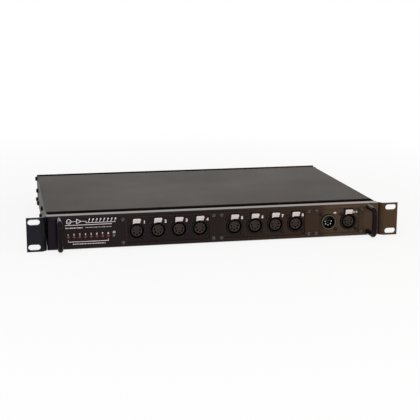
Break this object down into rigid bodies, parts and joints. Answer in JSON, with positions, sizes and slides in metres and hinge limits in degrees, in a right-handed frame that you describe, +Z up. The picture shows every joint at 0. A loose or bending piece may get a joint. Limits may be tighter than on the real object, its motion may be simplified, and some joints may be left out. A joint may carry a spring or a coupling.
{
  "type": "rack-mount lighting data splitter",
  "caption": "Black one-unit rack case with a row of round 5-pin sockets, one plug input, small lamps, two bar handles and slotted ears; it repeats a lighting control signal.",
  "frame": {"origin": "middle of the underside's bounding box, on the surface the case stands on", "axes": "+X to the right seen from the front, along the rack width; +Y from the front to the back; +Z up"},
  "size_m": [0.4826, 0.3268, 0.0436],
  "materials": {
    "panel_paint": "semi-gloss",
    "cover_paint": "satin",
    "tray_paint": "satin",
    "ear_paint": "satin",
    "handle_gloss_black": "gloss",
    "black_anodised": "black anodised",
    "connector_black": "satin black coating on die-cast zinc",
    "insert_plastic": "moulded",
    "latch_nickel": "satin nickel",
    "pin_silver": "silver plated contacts",
    "board_green": "solder mask",
    "ribbon_grey": "flexible sheath",
    "transformer_iron": "varnished laminations",
    "inlet_plastic": "moulded",
    "rocker_plastic": "gloss"
  },
  "bodies": {
    "case": {"chassis_tray": "tray_paint", "connector_board_1": "board_green", "connector_board_2": "board_green", "connector_board_3": "board_green", "connector_plate_1": "panel_paint", "connector_plate_2": "panel_paint", "connector_plate_3": "panel_paint", "ear_left": "ear_paint", "ear_right": "ear_paint", "front_panel": "panel_paint", "front_rail_bottom": "black_anodised", "front_rail_top": "black_anodised", "handle_left": "handle_gloss_black", "handle_right": "handle_gloss_black", "lamp_board": "board_green", "main_board": "board_green", "mains_inlet": "inlet_plastic", "mains_transformer": "transformer_iron", "rear_panel": "panel_paint", "rear_rail_bottom": "black_anodised", "rear_rail_top": "black_anodised", "ribbon_cable_1": "ribbon_grey", "ribbon_cable_2": "ribbon_grey", "ribbon_cable_3": "ribbon_grey", "switch_frame": "inlet_plastic", "top_cover": "cover_paint", "xlr_insert_1": "insert_plastic", "xlr_insert_2": "insert_plastic", "xlr_insert_3": "insert_plastic", "xlr_insert_4": "insert_plastic", "xlr_insert_5": "insert_plastic", "xlr_insert_6": "insert_plastic", "xlr_insert_7": "insert_plastic", "xlr_insert_8": "insert_plastic", "xlr_insert_thru": "insert_plastic", "xlr_male_insert": "pin_silver", "xlr_male_shell": "connector_black", "xlr_shell_1": "connector_black", "xlr_shell_2": "connector_black", "xlr_shell_3": "connector_black", "xlr_shell_4": "connector_black", "xlr_shell_5": "connector_black", "xlr_shell_6": "connector_black", "xlr_shell_7": "connector_black", "xlr_shell_8": "connector_black", "xlr_shell_thru": "connector_black"},
    "latch_1": {"push_latch_1": "latch_nickel"},
    "latch_2": {"push_latch_2": "latch_nickel"},
    "latch_3": {"push_latch_3": "latch_nickel"},
    "latch_4": {"push_latch_4": "latch_nickel"},
    "latch_5": {"push_latch_5": "latch_nickel"},
    "latch_6": {"push_latch_6": "latch_nickel"},
    "latch_7": {"push_latch_7": "latch_nickel"},
    "latch_8": {"push_latch_8": "latch_nickel"},
    "latch_thru": {"push_latch_thru": "latch_nickel"},
    "rocker": {"switch_rocker": "rocker_plastic"}
  },
  "joints": [
    {"name": "latch_1_slide", "type": "slide", "parent": "case", "child": "latch_1", "axis": [0, 1, 0], "range_m": [0, 0.0018], "stiffness_N_per_m": 600, "springref_m": -0.0005},
    {"name": "latch_2_slide", "type": "slide", "parent": "case", "child": "latch_2", "axis": [0, 1, 0], "range_m": [0, 0.0018], "stiffness_N_per_m": 600, "springref_m": -0.0005},
    {"name": "latch_3_slide", "type": "slide", "parent": "case", "child": "latch_3", "axis": [0, 1, 0], "range_m": [0, 0.0018], "stiffness_N_per_m": 600, "springref_m": -0.0005},
    {"name": "latch_4_slide", "type": "slide", "parent": "case", "child": "latch_4", "axis": [0, 1, 0], "range_m": [0, 0.0018], "stiffness_N_per_m": 600, "springref_m": -0.0005},
    {"name": "latch_5_slide", "type": "slide", "parent": "case", "child": "latch_5", "axis": [0, 1, 0], "range_m": [0, 0.0018], "stiffness_N_per_m": 600, "springref_m": -0.0005},
    {"name": "latch_6_slide", "type": "slide", "parent": "case", "child": "latch_6", "axis": [0, 1, 0], "range_m": [0, 0.0018], "stiffness_N_per_m": 600, "springref_m": -0.0005},
    {"name": "latch_7_slide", "type": "slide", "parent": "case", "child": "latch_7", "axis": [0, 1, 0], "range_m": [0, 0.0018], "stiffness_N_per_m": 600, "springref_m": -0.0005},
    {"name": "latch_8_slide", "type": "slide", "parent": "case", "child": "latch_8", "axis": [0, 1, 0], "range_m": [0, 0.0018], "stiffness_N_per_m": 600, "springref_m": -0.0005},
    {"name": "latch_thru_slide", "type": "slide", "parent": "case", "child": "latch_thru", "axis": [0, 1, 0], "range_m": [0, 0.0018], "stiffness_N_per_m": 600, "springref_m": -0.0005},
    {"name": "rocker_hinge", "type": "hinge", "parent": "case", "child": "rocker", "pos_m": [-0.115, 0.15894, 0.0215], "axis": [0, 0, -1], "range_deg": [0, 20]}
  ]
}
